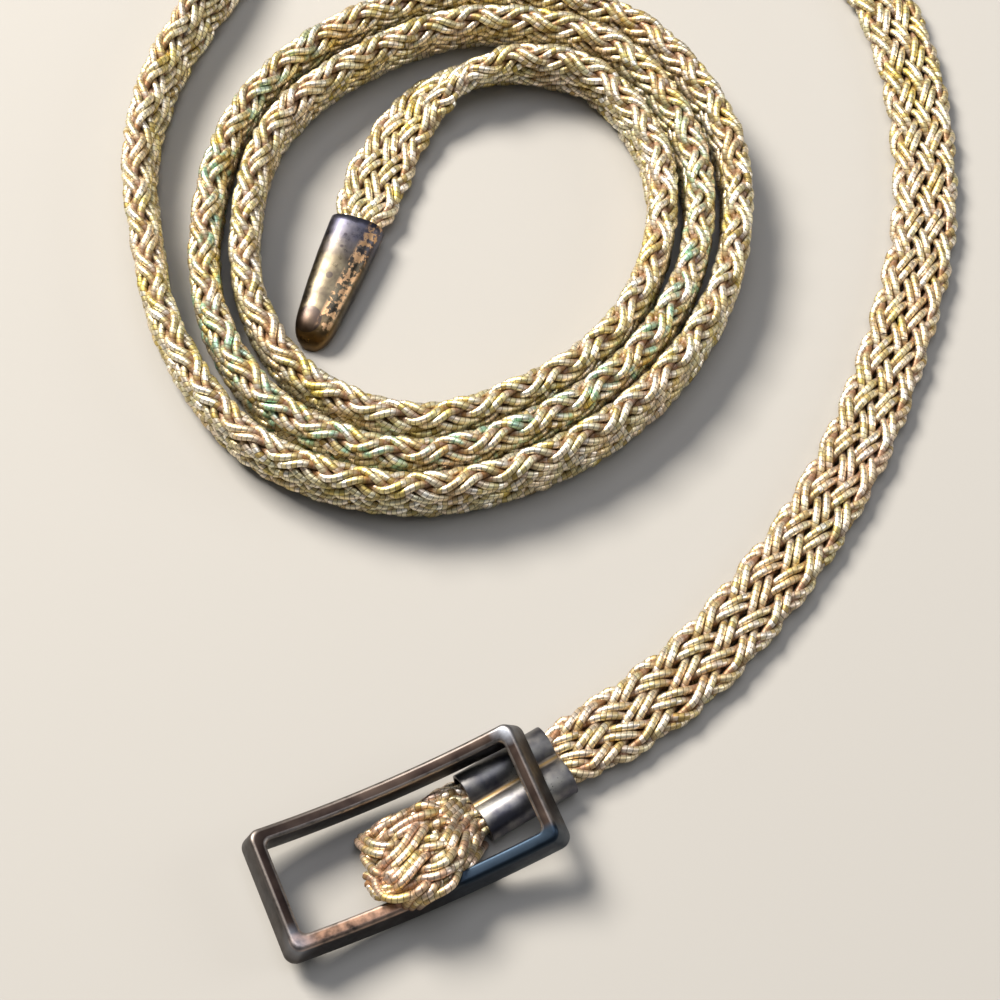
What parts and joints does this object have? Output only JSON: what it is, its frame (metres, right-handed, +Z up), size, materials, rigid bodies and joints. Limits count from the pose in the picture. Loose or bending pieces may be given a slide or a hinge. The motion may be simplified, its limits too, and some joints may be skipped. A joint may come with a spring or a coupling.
{
  "type": "skinny belt",
  "caption": "Skinny braided belt of metallic cord, loosely coiled on edge, with a tapered metal end tip, a crimped sleeve and a small open rectangular buckle frame.",
  "frame": {"origin": "on the surface, under the middle of the coiled belt's bounding box", "axes": "+Z up from the surface, +X along the buckle frame's long side towards its sleeve end, +Y from the buckle towards the coil"},
  "size_m": [0.1368, 0.1602, 0.0097],
  "materials": {
    "metallic_braid": "braided metallic cords, champagne gold, with peach and faint green tarnish",
    "dark_bronze": "dark tarnished bronze, rubbed coppery along the edges",
    "worn_nickel": "worn nickel, finely pitted",
    "brown_bronze": "brown bronze tarnish with bare coppery patches"
  },
  "bodies": {
    "root": {"strap": "metallic_braid", "buckle_frame": "dark_bronze", "strap_sleeve": "worn_nickel", "end_tip": "brown_bronze"}
  },
  "joints": []
}
